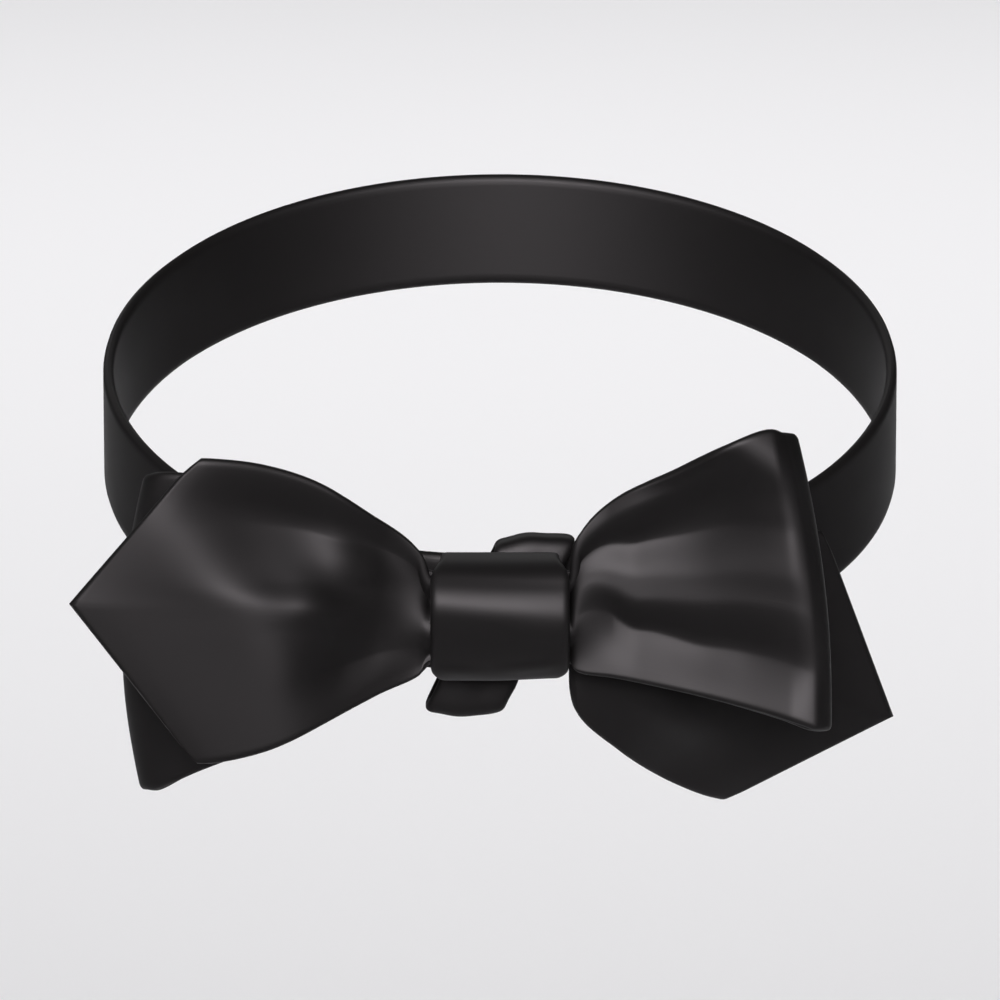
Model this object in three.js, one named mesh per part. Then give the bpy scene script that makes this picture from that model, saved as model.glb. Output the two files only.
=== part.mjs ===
// A self-tied bow tie with diamond point ends, as it sits when worn.
// Millimetres, +Z up. The front of the tie faces -Y and +X is to the viewer's right.
// The origin is the middle of the neckband's loop.

import * as THREE from "three";

// Neckband
const NECK_GIRTH = 400;
const NECK_ROUNDNESS = 0.97;
const BAND_TILT = 18;
const BAND_WIDTH = 19;
const BAND_THICKNESS = 1.8;

// Cloth and how closely it is packed
const CLOTH = 1.6;
const LAYER_GAP = 1.0;
const SEAT_GAP = 0.35;
const WRAP_SLACK = 0.75;

// Knot over the waist of the bow
const KNOT_WIDTH = 21.7;
const KNOT_LIFT = 2.1;
const WAIST_HEIGHT = 15;
const KNOT_WALL = 1.8;
const KNOT_BULGE = 2.4;
const KNOT_GATHER = 0.86;
const PLEAT_RISE = 1.1;

// Half hitch round the neckband, behind the knot
const THROAT_HEIGHT = 29.6;
const THROAT_DROP = 2;
const THROAT_WIDTH = 12.6;
const THROAT_SLANT = 0.4;
const THROAT_WALL = 2.2;

// Reach of each wing from the middle of the knot, and its height at the widest place
const FRONT_END_REACH = 67.2;
const FRONT_END_HEIGHT = 48.9;
const FRONT_LOOP_REACH = 51.4;
const FRONT_LOOP_HEIGHT = 46.5;
const BACK_END_REACH = 63.2;
const BACK_END_HEIGHT = 45.3;
const BACK_LOOP_REACH = 60.2;
const BACK_LOOP_HEIGHT = 50;

// Depth of the open loops, how far the front layer stands forward, and the height of its ribs
const LOOP_DEPTH = 10.4;
const BILLOW = 13;
const RIB_RISE = 4;

// Slopes, as rise over run: how far a loop's back sinks with its depth, how far the back pieces
// lean away below the knot, and how the knot's front slopes above and below its ridge
const LOOP_TIP = 0.28;
const BACK_LEAN = 0.28;
const KNOT_SLOPE_ABOVE = 0.27;
const KNOT_SLOPE_BELOW = 0.2;

// How far each diamond's point lies above the middle of its shoulders, as a share of its height,
// and how far the back one's lies behind them
const FRONT_POINT_LIFT = 0.028;
const BACK_POINT_LIFT = -0.205;
const BACK_POINT_DEPTH = 4;

// Facets along and across each piece
const BOW_FACETS = { along: 60, across: 16 };
const KNOT_FACETS = { along: 36, across: 8 };
const THROAT_FACETS = { along: 40, across: 6 };
const BAND_FACETS = { along: 64, across: 2 };

// The neckband's loop is an ellipse whose length is the girth
const ellipseFactor = 3 * (1 + NECK_ROUNDNESS)
  - Math.sqrt((3 + NECK_ROUNDNESS) * (1 + 3 * NECK_ROUNDNESS));
const neckHalfWidth = NECK_GIRTH / (Math.PI * ellipseFactor);
const tilt = THREE.MathUtils.degToRad(BAND_TILT);
const neckHalfDepth = neckHalfWidth * NECK_ROUNDNESS * Math.cos(tilt);
const throatZ = -neckHalfDepth * Math.tan(tilt);

// Depths from the neckband forward: half hitch, knot, then three layers of cloth inside the knot
const layerPitch = CLOTH + LAYER_GAP;
const throatDepth = BAND_THICKNESS + 2 * WRAP_SLACK + THROAT_WALL;
const throatFrontY = -neckHalfDepth - throatDepth / 2 - THROAT_WALL / 2;
const knotDepth = 2 * layerPitch + CLOTH + 2 * PLEAT_RISE + 2 * WRAP_SLACK + KNOT_WALL;
const knotY = throatFrontY - SEAT_GAP - KNOT_WALL / 2 - knotDepth / 2;
const knotHeight = WAIST_HEIGHT + 2 * WRAP_SLACK + 2 * KNOT_WALL;
const knotEdge = KNOT_WIDTH / 2;
const bowZ = throatZ + KNOT_LIFT;

const satin = { black: 0x2c2a2b, roughness: 0.38 };

function material(color, roughness) {
  return new THREE.MeshStandardMaterial({ color, roughness, metalness: 0, side: THREE.DoubleSide });
}

function smooth(value, start, end) {
  return THREE.MathUtils.smoothstep(value, start, end);
}

// Closed wall of cloth round a middle surface, surface(u, v) with u and v from 0 to 1.
// A looped wall joins its last row to its first.
function clothWall(name, surface, facets, thickness, looped, finish) {
  const { along, across } = facets;
  const rowCount = looped ? along : along + 1;
  const columnCount = across + 1;
  const point = (row, column) => surface(row / along, column / across);
  const middle = [];
  for (let row = 0; row < rowCount; row++) {
    for (let column = 0; column < columnCount; column++) {
      middle.push(point(row, column));
    }
  }
  const index = (row, column) => (row % rowCount) * columnCount + column;
  const positions = [];
  for (const side of [1, -1]) {
    for (let row = 0; row < rowCount; row++) {
      for (let column = 0; column < columnCount; column++) {
        const before = looped ? row - 1 + along : Math.max(row - 1, 0);
        const after = looped ? row + 1 : Math.min(row + 1, along);
        const alongStep = middle[index(after, column)].clone().sub(middle[index(before, column)]);
        const acrossStep = middle[index(row, Math.min(column + 1, across))].clone()
          .sub(middle[index(row, Math.max(column - 1, 0))]);
        const normal = alongStep.cross(acrossStep).normalize();
        const place = middle[index(row, column)].clone().addScaledVector(normal, side * thickness / 2);
        positions.push(place.x, place.y, place.z);
      }
    }
  }
  const layer = rowCount * columnCount;
  const triangles = [];
  const quad = (a, b, c, d) => triangles.push(a, b, d, b, c, d);
  for (let row = 0; row < along; row++) {
    for (let column = 0; column < across; column++) {
      const [a, b] = [index(row, column), index(row + 1, column)];
      const [c, d] = [index(row + 1, column + 1), index(row, column + 1)];
      quad(a, b, c, d);
      quad(...[a, d, c, b].map((corner) => corner + layer));
    }
    quad(index(row, 0), index(row, 0) + layer, index(row + 1, 0) + layer, index(row + 1, 0));
    quad(index(row + 1, across), index(row + 1, across) + layer,
      index(row, across) + layer, index(row, across));
  }
  if (!looped) {
    for (let column = 0; column < across; column++) {
      quad(index(0, column + 1), index(0, column + 1) + layer, index(0, column) + layer, index(0, column));
      quad(index(along, column), index(along, column) + layer,
        index(along, column + 1) + layer, index(along, column + 1));
    }
  }
  const geometry = new THREE.BufferGeometry();
  geometry.setAttribute("position", new THREE.Float32BufferAttribute(positions, 3));
  geometry.setIndex(triangles);
  geometry.computeVertexNormals();
  const mesh = new THREE.Mesh(geometry, material(finish.black, finish.roughness));
  mesh.name = name;
  return mesh;
}

// A row of a bow's strip runs from its foot to its top. Reach is a share of the way from the
// knot's edge to the wing's furthest place, rise a share of the wing's height, and forward a share
// of the billow in front of the layer's own place in the knot. Point says how much of the diamond's
// point the row carries, folded how strongly the wing's own ribs show on it, and billowed how
// fully it swings forward.
function wingRow(wing, row) {
  const place = (reach, rise) => {
    const leaning = wing.lean * Math.min(reach / LEAN_REACH, 1) * Math.max(-rise, 0) * wing.height;
    return new THREE.Vector3(
      wing.side * (knotEdge + reach * (wing.reach - knotEdge)),
      wing.layerY - row.forward * BILLOW + leaning,
      bowZ + rise * wing.height,
    );
  };
  const along = (row.topReach + row.footReach) / 2;
  return {
    top: place(row.topReach, row.topRise),
    foot: place(row.footReach, row.footRise),
    point: row.point ?? 0,
    wing,
    folded: smooth(along, 0, PLEAT_LENGTH),
    billowed: 1,
  };
}

// Inside the knot a row shows the pleats alone
function waistRow(wing, along) {
  const place = (rise) => new THREE.Vector3(
    along * knotEdge, wing.layerY, bowZ + rise * wing.gathered * WAIST_HEIGHT / 2);
  return { top: place(1), foot: place(-1), point: 0, wing, folded: 0, billowed: 0 };
}

// Half turn of cloth at the end of a loop, from the layer it leaves to the layer it comes back on
function turnRows(wing, row, turn, steps) {
  const rows = [];
  for (let step = 1; step < steps; step++) {
    const angle = Math.PI * step / steps;
    const billowed = wing.billow * (1 + Math.cos(angle)) / 2;
    const turned = wingRow(wing, { ...row, forward: row.forward * (1 - billowed) });
    const fromFront = turn > 0 ? angle : Math.PI - angle;
    for (const edge of [turned.top, turned.foot]) {
      edge.x -= wing.side * LOOP_DEPTH / 2 * (1 - Math.sin(angle));
      edge.y += turn * LOOP_DEPTH / 2 * (1 - Math.cos(angle));
      edge.z -= LOOP_TIP * LOOP_DEPTH / 2 * (1 - Math.cos(fromFront));
    }
    turned.folded = Math.max(Math.cos(angle), 0);
    turned.billowed = billowed;
    rows.push(turned);
  }
  return rows;
}

// Height of a wing's ribs and hollows: along is 0 at the knot and 1 at the wing's end, across is
// -1 at the foot and 1 at the top
function ribHeight(ribs, along, across) {
  const toMid = smooth(along, RIB_PLACES.near, RIB_PLACES.mid);
  const toFar = smooth(along, RIB_PLACES.mid, RIB_PLACES.far);
  const blend = (near, mid, far) => near + (mid - near) * toMid + (far - mid) * toFar;
  let height = 0;
  let previous = null;
  for (const rib of Object.values(ribs)) {
    const place = blend(rib.nearAcross, rib.midAcross, rib.farAcross);
    const rise = blend(rib.nearRise, rib.midRise, rib.farRise);
    if (previous) {
      const way = THREE.MathUtils.clamp((across - previous.place) / (place - previous.place), 0, 1);
      const eased = THREE.MathUtils.lerp(smooth(way, 0, 1), way, RIB_EVENNESS);
      height += (rise - previous.rise) * eased;
    } else {
      height = rise;
    }
    previous = { place, rise };
  }
  return height * RIB_RISE;
}

// Soft pleats that every layer shares inside the knot, flat towards its two edges
function pleatHeight(across) {
  const wave = Math.cos(Math.PI * (PLEAT_WAVES * across + PLEAT_SHIFT));
  return PLEAT_RISE * wave * (1 - Math.pow(across, 4));
}

// Smooth curve through a crest's places, read at a place across
function crestAlong(crest, across) {
  const last = crest.length - 1;
  const slopeAt = (index) => {
    const after = crest[Math.min(index + 1, last)];
    const before = crest[Math.max(index - 1, 0)];
    return (after.along - before.along) / (after.across - before.across);
  };
  let index = 0;
  while (index < last - 1 && across > crest[index + 1].across) {
    index++;
  }
  const start = crest[index];
  const end = crest[index + 1];
  const span = end.across - start.across;
  const way = (across - start.across) / span;
  const bend = slopeAt(index) * (1 - way) - slopeAt(index + 1) * way;
  return THREE.MathUtils.lerp(start.along, end.along, smooth(way, 0, 1)) + span * way * (1 - way) * bend;
}

// Cloth leaves the knot flat, swings forward up to its crest, turns over it and falls back a little
function billowHeight(wing, along, crest) {
  const beyond = along - crest;
  const rising = Math.pow(along / crest, wing.swell);
  const falling = 1 - wing.fall * beyond + wing.hollow * beyond * beyond;
  const nearer = Math.exp(-CREST_SHARPNESS * rising) + Math.exp(-CREST_SHARPNESS * falling);
  return -wing.billow * BILLOW * Math.log(nearer) / CREST_SHARPNESS;
}

// How far a row's cloth stands forward of its straight line, at a place across it and at x
function rowRelief(row, across, x) {
  const { wing, folded, billowed } = row;
  const along = THREE.MathUtils.clamp((wing.side * x - knotEdge) / (wing.reach - knotEdge), 0, 1);
  const crest = crestAlong(wing.crest, across);
  const inside = 1 - smooth(along / crest, RIB_FADE.start, RIB_FADE.end);
  const ribs = inside * ribHeight(wing.ribs, along, across);
  const height = THREE.MathUtils.lerp(pleatHeight(across), ribs, folded);
  return height + billowed * billowHeight(wing, along, crest);
}

// Middle surface of a strip through its rows, which ends at its first row in a diamond's point.
// Corners says how far the shoulders of the diamond are rounded, as shares of the strip.
function stripSurface(rows, pointVector, corners) {
  const topEdge = new THREE.CatmullRomCurve3(rows.map((row) => row.top), false, "centripetal");
  const footEdge = new THREE.CatmullRomCurve3(rows.map((row) => row.foot), false, "centripetal");
  return (u, v) => {
    const across = 2 * v - 1;
    const cornered = Math.pow(Math.max(Math.abs(across) - CORNER_START, 0) / (1 - CORNER_START), 2);
    const rounding = across > 0 ? corners.top : corners.foot;
    const share = u + rounding * cornered * Math.max(1 - u / CORNER_LENGTH, 0);
    const place = share * (rows.length - 1);
    const index = Math.min(Math.floor(place), rows.length - 2);
    const before = rows[index];
    const after = rows[index + 1];
    const surface = footEdge.getPoint(share).lerp(topEdge.getPoint(share), v);
    const pointed = THREE.MathUtils.lerp(before.point, after.point, place - index);
    surface.addScaledVector(pointVector, pointed * (1 - Math.abs(across)));
    const relief = [before, after].map((row) => rowRelief(row, across, surface.x));
    surface.y -= THREE.MathUtils.lerp(...relief, place - index);
    return surface;
  };
}

// A wing leans fully from this share of its reach on
const LEAN_REACH = 0.25;

// How sharply the cloth turns over at its crest, and how evenly it slopes between two ribs
const CREST_SHARPNESS = 8;
const RIB_EVENNESS = 0.4;

// Where the rounding of a diamond's shoulders starts across the strip, where it ends along it, and
// how far it draws each corner in, as shares of the strip
const CORNER_START = 0.84;
const CORNER_LENGTH = 0.08;
const FRONT_CORNERS = { top: 0.016, foot: 0.005 };
const BACK_CORNERS = { top: 0.005, foot: 0.005 };

// Pleats inside the knot: half waves across half of the cloth, and how far they are shifted. They
// give way to the wing's own ribs over this share of the wing.
const PLEAT_WAVES = 1.5;
const PLEAT_SHIFT = 0.35;
const PLEAT_LENGTH = 0.08;

// Ribs fade out between these shares of the way from the knot to the crest
const RIB_FADE = { start: 0.65, end: 1.15 };

// Front bow: the diamond end on the left, from its shoulders to the knot
const FRONT_END_ROWS = [
  { topReach: 0.650, topRise: 0.582, footReach: 0.655, footRise: -0.418, forward: -0.10, point: 1.00 },
  { topReach: 0.600, topRise: 0.580, footReach: 0.595, footRise: -0.412, forward: -0.06, point: 0.82 },
  { topReach: 0.465, topRise: 0.553, footReach: 0.460, footRise: -0.372, forward: -0.02, point: 0.50 },
  { topReach: 0.300, topRise: 0.480, footReach: 0.290, footRise: -0.290, forward: 0.00, point: 0.22 },
  { topReach: 0.155, topRise: 0.358, footReach: 0.150, footRise: -0.228, forward: 0.00, point: 0.06 },
  { topReach: 0.035, topRise: 0.238, footReach: 0.035, footRise: -0.182, forward: 0.00 },
];

// Front bow: the loop on the right, from the knot to its fold
const FRONT_LOOP_ROWS = [
  { topReach: 0.040, topRise: 0.305, footReach: 0.035, footRise: -0.175, forward: 0.06 },
  { topReach: 0.180, topRise: 0.448, footReach: 0.170, footRise: -0.190, forward: 0.06 },
  { topReach: 0.400, topRise: 0.566, footReach: 0.400, footRise: -0.220, forward: 0.06 },
  { topReach: 0.640, topRise: 0.698, footReach: 0.660, footRise: -0.260, forward: 0.03 },
  { topReach: 0.770, topRise: 0.714, footReach: 0.860, footRise: -0.298, forward: 0.00 },
];
const FRONT_FOLD_ROW = {
  topReach: 0.885, topRise: 0.685, footReach: 1.000, footRise: -0.318, forward: 0.72,
};
const FRONT_LOOP_REAR_ROWS = [
  { topReach: 0.740, topRise: 0.570, footReach: 0.820, footRise: -0.345, forward: 0.04 },
  { topReach: 0.450, topRise: 0.480, footReach: 0.500, footRise: -0.265, forward: 0.00 },
  { topReach: 0.160, topRise: 0.315, footReach: 0.180, footRise: -0.190, forward: 0.00 },
];

// Back bow: the drooping diamond end on the right
const BACK_END_ROWS = [
  { topReach: 0.776, topRise: 0.245, footReach: 0.480, footRise: -0.785, forward: -0.70, point: 1.00 },
  { topReach: 0.700, topRise: 0.265, footReach: 0.405, footRise: -0.750, forward: -0.56, point: 0.80 },
  { topReach: 0.530, topRise: 0.270, footReach: 0.280, footRise: -0.665, forward: -0.36, point: 0.48 },
  { topReach: 0.320, topRise: 0.262, footReach: 0.150, footRise: -0.530, forward: -0.18, point: 0.20 },
  { topReach: 0.130, topRise: 0.215, footReach: 0.020, footRise: -0.360, forward: -0.10 },
];

// Back bow: the loop on the left, from the knot out and back
const BACK_LOOP_REAR_ROWS = [
  { topReach: 0.060, topRise: 0.185, footReach: 0.060, footRise: -0.190, forward: -0.05 },
  { topReach: 0.250, topRise: 0.285, footReach: 0.250, footRise: -0.325, forward: -0.32 },
  { topReach: 0.520, topRise: 0.350, footReach: 0.520, footRise: -0.480, forward: -0.57 },
  { topReach: 0.760, topRise: 0.375, footReach: 0.760, footRise: -0.600, forward: -0.63 },
];
const BACK_FOLD_ROW = {
  topReach: 0.935, topRise: 0.475, footReach: 1.000, footRise: -0.610, forward: -0.63,
};
const BACK_LOOP_ROWS = [
  { topReach: 0.740, topRise: 0.462, footReach: 0.760, footRise: -0.545, forward: 0.05 },
  { topReach: 0.480, topRise: 0.395, footReach: 0.500, footRise: -0.430, forward: 0.08 },
  { topReach: 0.200, topRise: 0.265, footReach: 0.210, footRise: -0.265, forward: 0.03 },
];

// Where the cloth, coming out of the knot, reaches its most forward place, from foot to top
const FRONT_END_CREST = [
  { across: -1.00, along: 0.30 },
  { across: -0.74, along: 0.35 },
  { across: -0.46, along: 0.40 },
  { across: -0.20, along: 0.43 },
  { across: 0.02, along: 0.47 },
  { across: 0.18, along: 0.58 },
  { across: 0.45, along: 0.68 },
  { across: 0.69, along: 0.73 },
  { across: 1.00, along: 0.74 },
];
const FRONT_LOOP_CREST = [
  { across: -1.00, along: 1.02 },
  { across: -0.50, along: 1.00 },
  { across: -0.20, along: 0.95 },
  { across: 0.00, along: 0.88 },
  { across: 0.19, along: 0.84 },
  { across: 0.40, along: 0.825 },
  { across: 0.65, along: 0.82 },
  { across: 0.82, along: 0.79 },
  { across: 1.00, along: 0.70 },
];
const LEVEL_CREST = [{ across: -1, along: 0.5 }, { across: 1, along: 0.5 }];

// Ribs stand forward and hollows sink, as shares of the rib rise. Each runs along its own line,
// given near the knot, at mid wing and far out, with the places where those lie along the wing.
const RIB_PLACES = { near: 0.05, mid: 0.28, far: 0.55 };
const rib = (nearAcross, nearRise, midAcross, midRise, farAcross, farRise) => (
  { nearAcross, nearRise, midAcross, midRise, farAcross, farRise });
const FRONT_END_RIBS = {
  foot: rib(-1.00, 0.00, -1.00, 0.00, -1.00, 0.00),
  thinRidge: rib(-0.62, 0.07, -0.80, 0.23, -0.85, 0.15),
  lowerHollow: rib(-0.30, -0.35, -0.46, -0.65, -0.50, -0.50),
  middlePleat: rib(0.40, 0.15, 0.12, 0.40, 0.02, 0.20),
  upperHollow: rib(0.70, 0.00, 0.50, -0.15, 0.54, -0.10),
  topEdge: rib(1.00, 0.20, 1.00, 1.00, 1.00, 0.88),
};
const FRONT_LOOP_RIBS = {
  foot: rib(-1.00, 0.05, -1.00, 0.40, -1.00, 1.00),
  lowerHollow: rib(-0.15, -0.25, -0.50, -0.50, -0.62, -0.60),
  middlePleat: rib(0.25, 0.20, -0.16, 0.30, -0.22, 0.25),
  upperHollow: rib(0.58, -0.10, 0.36, -0.20, 0.32, -0.30),
  topRim: rib(0.84, 0.10, 0.82, 0.60, 0.82, 0.50),
  topEdge: rib(1.00, 0.00, 1.00, 0.25, 1.00, 0.25),
};
const BACK_END_RIBS = {
  foot: rib(-1.00, 0.00, -1.00, 0.00, -1.00, 0.00),
  lowerSwell: rib(-0.50, 0.20, -0.50, 0.25, -0.45, 0.20),
  topEdge: rib(0.30, 0.00, 0.30, 0.00, 0.30, 0.00),
};

// Each wing, with the layer of cloth it is in the knot and how fully that layer fills the knot.
// Swell says how late the cloth swings forward, fall how steeply it falls back past its crest, and
// hollow how soon it levels off there.
const layers = {
  front: { layerY: knotY - layerPitch, gathered: 0.92 },
  inner: { layerY: knotY, gathered: 1 },
  back: { layerY: knotY + layerPitch, gathered: 0.92 },
};
const frontEnd = {
  ...layers.front, side: -1, reach: FRONT_END_REACH, height: FRONT_END_HEIGHT, lean: 0,
  crest: FRONT_END_CREST, ribs: FRONT_END_RIBS, billow: 1, swell: 2.4, fall: 0.5, hollow: 0.6,
};
const frontLoop = {
  ...layers.front, side: 1, reach: FRONT_LOOP_REACH, height: FRONT_LOOP_HEIGHT, lean: 0,
  crest: FRONT_LOOP_CREST, ribs: FRONT_LOOP_RIBS, billow: 1, swell: 3, fall: 1.2, hollow: 0,
};
const plain = { lean: 0, crest: LEVEL_CREST, ribs: {}, billow: 0, swell: 2, fall: 0, hollow: 0 };
const frontLoopRear = { ...frontLoop, ...layers.inner, ...plain };
const backEnd = {
  ...layers.back, side: 1, reach: BACK_END_REACH, height: BACK_END_HEIGHT,
  ...plain, lean: BACK_LEAN, ribs: BACK_END_RIBS,
};
const backLoop = {
  ...layers.inner, side: -1, reach: BACK_LOOP_REACH, height: BACK_LOOP_HEIGHT,
  ...plain, lean: BACK_LEAN,
};
const backLoopRear = { ...backLoop, ...layers.back };

// Places along the knot, as shares of half its width
const WAIST_PLACES = [-1, -0.5, 0, 0.5, 1];
const TAIL_PLACES = [1, 0.5, 0.1];
const TURN_STEPS = 5;

// From the shoulders of a diamond end to its point
function pointOf(rows, wing, lift, back) {
  const shoulder = rows[0].top.clone().add(rows[0].foot).multiplyScalar(0.5);
  return new THREE.Vector3(wing.side * wing.reach - shoulder.x, back, lift * wing.height);
}

function buildFrontBow() {
  const rows = [
    ...FRONT_END_ROWS.map((row) => wingRow(frontEnd, row)),
    ...WAIST_PLACES.map((along) => waistRow(frontEnd, along)),
    ...FRONT_LOOP_ROWS.map((row) => wingRow(frontLoop, row)),
    ...turnRows(frontLoop, FRONT_FOLD_ROW, 1, TURN_STEPS),
    ...FRONT_LOOP_REAR_ROWS.map((row) => wingRow(frontLoopRear, row)),
    ...TAIL_PLACES.map((along) => waistRow(frontLoopRear, along)),
  ];
  const surface = stripSurface(
    rows, pointOf(rows, frontEnd, FRONT_POINT_LIFT, 0), FRONT_CORNERS);
  return clothWall("front_bow", surface, BOW_FACETS, CLOTH, false, satin);
}

function buildBackBow() {
  const rows = [
    ...BACK_END_ROWS.map((row) => wingRow(backEnd, row)),
    ...WAIST_PLACES.map((along) => waistRow(backEnd, -along)),
    ...BACK_LOOP_REAR_ROWS.map((row) => wingRow(backLoopRear, row)),
    ...turnRows(backLoopRear, BACK_FOLD_ROW, -1, TURN_STEPS),
    ...BACK_LOOP_ROWS.map((row) => wingRow(backLoop, row)),
    ...TAIL_PLACES.map((along) => waistRow(backLoop, -along)),
  ];
  const surface = stripSurface(
    rows, pointOf(rows, backEnd, BACK_POINT_LIFT, BACK_POINT_DEPTH), BACK_CORNERS);
  return clothWall("back_bow", surface, BOW_FACETS, CLOTH, false, satin);
}

// Squared oval in the YZ plane, from angle 0 at the front, over the top
function squaredOval(angle, halfDepth, halfHeight, squareness) {
  const power = 2 / squareness;
  const forward = Math.sign(Math.cos(angle)) * Math.pow(Math.abs(Math.cos(angle)), power);
  const upward = Math.sign(Math.sin(angle)) * Math.pow(Math.abs(Math.sin(angle)), power);
  return { y: -forward * halfDepth, z: upward * halfHeight };
}

// Height of the ridge along the knot's front, as a share of its half height
const KNOT_RIDGE = 0.28;

// How square the wraps are seen from the side, from 2 for an oval
const KNOT_SQUARENESS = 3.4;
const THROAT_SQUARENESS = 5;

// The strap that wraps once over the waist: wide on the front, gathered in behind
function buildKnot() {
  return clothWall("knot", (u, v) => {
    const angle = 2 * Math.PI * u;
    const facing = Math.max(Math.cos(angle), 0);
    const halfHeight = (knotHeight - KNOT_WALL) / 2;
    const oval = squaredOval(angle, knotDepth / 2, halfHeight, KNOT_SQUARENESS);
    const spread = THREE.MathUtils.lerp(KNOT_GATHER, 1, smooth(Math.cos(angle), 0, 0.75));
    const across = 2 * v - 1;
    const x = across * knotEdge * spread;
    const above = oval.z / halfHeight - KNOT_RIDGE;
    const slope = above > 0 ? KNOT_SLOPE_ABOVE : KNOT_SLOPE_BELOW;
    const crown = facing * (KNOT_BULGE - slope * Math.abs(above) * halfHeight - across * across / 2);
    return new THREE.Vector3(x, knotY + oval.y - crown, bowZ + oval.z);
  }, KNOT_FACETS, KNOT_WALL, true, satin);
}

// The half hitch: a slack, slanted wrap round the neckband at the throat
function buildThroatLoop() {
  return clothWall("throat_loop", (u, v) => {
    const angle = 2 * Math.PI * u;
    const oval = squaredOval(
      angle, throatDepth / 2, (THROAT_HEIGHT - THROAT_WALL) / 2, THROAT_SQUARENESS);
    const across = 2 * v - 1;
    const x = across * THROAT_WIDTH / 2 + THROAT_SLANT * oval.z;
    const bandY = -neckHalfDepth * Math.sqrt(1 - Math.pow(x / neckHalfWidth, 2));
    return new THREE.Vector3(x, bandY + oval.y, throatZ - THROAT_DROP + oval.z);
  }, THROAT_FACETS, THROAT_WALL, true, satin);
}

function buildNeckband() {
  return clothWall("neckband", (u, v) => {
    const angle = 2 * Math.PI * u;
    const y = -neckHalfDepth * Math.cos(angle);
    return new THREE.Vector3(
      neckHalfWidth * Math.sin(angle), y, y * Math.tan(tilt) + (v - 0.5) * BAND_WIDTH);
  }, BAND_FACETS, BAND_THICKNESS, true, satin);
}

const bowTie = new THREE.Group();
bowTie.add(buildFrontBow(), buildBackBow(), buildKnot(), buildThroatLoop(), buildNeckband());

export default bowTie;
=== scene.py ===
import math

import bpy
import numpy as np
from bpy.props import FloatProperty, IntProperty, PointerProperty, StringProperty
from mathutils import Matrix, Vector


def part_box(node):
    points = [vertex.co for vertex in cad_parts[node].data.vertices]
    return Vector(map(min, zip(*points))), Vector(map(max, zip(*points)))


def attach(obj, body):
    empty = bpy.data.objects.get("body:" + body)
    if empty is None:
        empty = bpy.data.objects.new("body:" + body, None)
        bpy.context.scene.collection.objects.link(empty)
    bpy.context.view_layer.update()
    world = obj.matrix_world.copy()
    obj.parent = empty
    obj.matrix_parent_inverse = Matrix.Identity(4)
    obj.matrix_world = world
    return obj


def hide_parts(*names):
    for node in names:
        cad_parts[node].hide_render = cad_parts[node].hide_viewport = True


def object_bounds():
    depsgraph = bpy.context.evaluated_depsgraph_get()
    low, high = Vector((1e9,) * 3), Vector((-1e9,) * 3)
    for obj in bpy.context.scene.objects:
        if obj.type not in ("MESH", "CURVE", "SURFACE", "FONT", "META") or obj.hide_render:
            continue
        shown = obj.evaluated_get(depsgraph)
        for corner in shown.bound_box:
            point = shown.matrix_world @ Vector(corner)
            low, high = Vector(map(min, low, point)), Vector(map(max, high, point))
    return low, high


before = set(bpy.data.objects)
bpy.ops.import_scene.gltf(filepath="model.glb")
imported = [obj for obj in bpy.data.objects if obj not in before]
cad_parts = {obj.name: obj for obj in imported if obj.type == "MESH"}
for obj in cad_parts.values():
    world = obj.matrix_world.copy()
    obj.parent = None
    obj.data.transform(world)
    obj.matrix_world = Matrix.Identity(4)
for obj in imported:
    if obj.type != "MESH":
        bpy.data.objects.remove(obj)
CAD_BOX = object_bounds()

bl_info = {
    "name": "Diamond Point Bow Tie",
    "version": (1, 0, 0),
    "blender": (4, 5, 0),
    "location": "3D View > Sidebar > Bow Tie",
    "description": "Dresses a self-tied bow tie in black satin and lights it",
    "category": "Object",
}

MM = 0.001

KNOT_LOW, KNOT_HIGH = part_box("knot")
THROAT_LOW, THROAT_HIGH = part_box("throat_loop")
BAND_LOW, BAND_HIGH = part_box("neckband")


# Sizes and colours that a maker of the tie would change

class BowTieCloth(bpy.types.PropertyGroup):
    cloth: FloatProperty(
        name="Cloth", description="Thickness of the lined satin", default=1.6 * MM,
        min=0.5 * MM, max=3 * MM, unit="LENGTH")
    layer_gap: FloatProperty(
        name="Layer gap", description="Air between two layers in the knot", default=1.0 * MM,
        min=0.0, max=3 * MM, unit="LENGTH")
    billow: FloatProperty(
        name="Billow", description="How far the front cloth swings forward of the knot",
        default=13 * MM, min=0.0, max=20 * MM, unit="LENGTH")
    loop_depth: FloatProperty(
        name="Loop depth", description="How far the two sides of a loop stand apart",
        default=10.4 * MM, min=2 * MM, max=30 * MM, unit="LENGTH")
    pleat_rise: FloatProperty(
        name="Pleat rise", description="Height of the pleats inside the knot",
        default=1.1 * MM, min=0.0, max=3 * MM, unit="LENGTH")
    rows: IntProperty(
        name="Rows", description="Faces along a bow's strip", default=260, min=60, max=400)
    columns: IntProperty(
        name="Columns", description="Faces across a bow's strip", default=84, min=20, max=120)


class BowTieSatin(bpy.types.PropertyGroup):
    face: StringProperty(
        name="Face", description="Colour of the satin's face, as sRGB hex", default="070606")
    warp: StringProperty(
        name="Warp", description="Colour of the lighter warp floats, as sRGB hex",
        default="090808")
    roughness: FloatProperty(
        name="Roughness", description="Spread of the satin's highlight", default=0.54,
        min=0.0, max=1.0, subtype="FACTOR")
    thread: FloatProperty(
        name="Thread", description="Spacing of the warp lines as drawn", default=0.30 * MM,
        min=0.05 * MM, max=1 * MM, unit="LENGTH")


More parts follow.
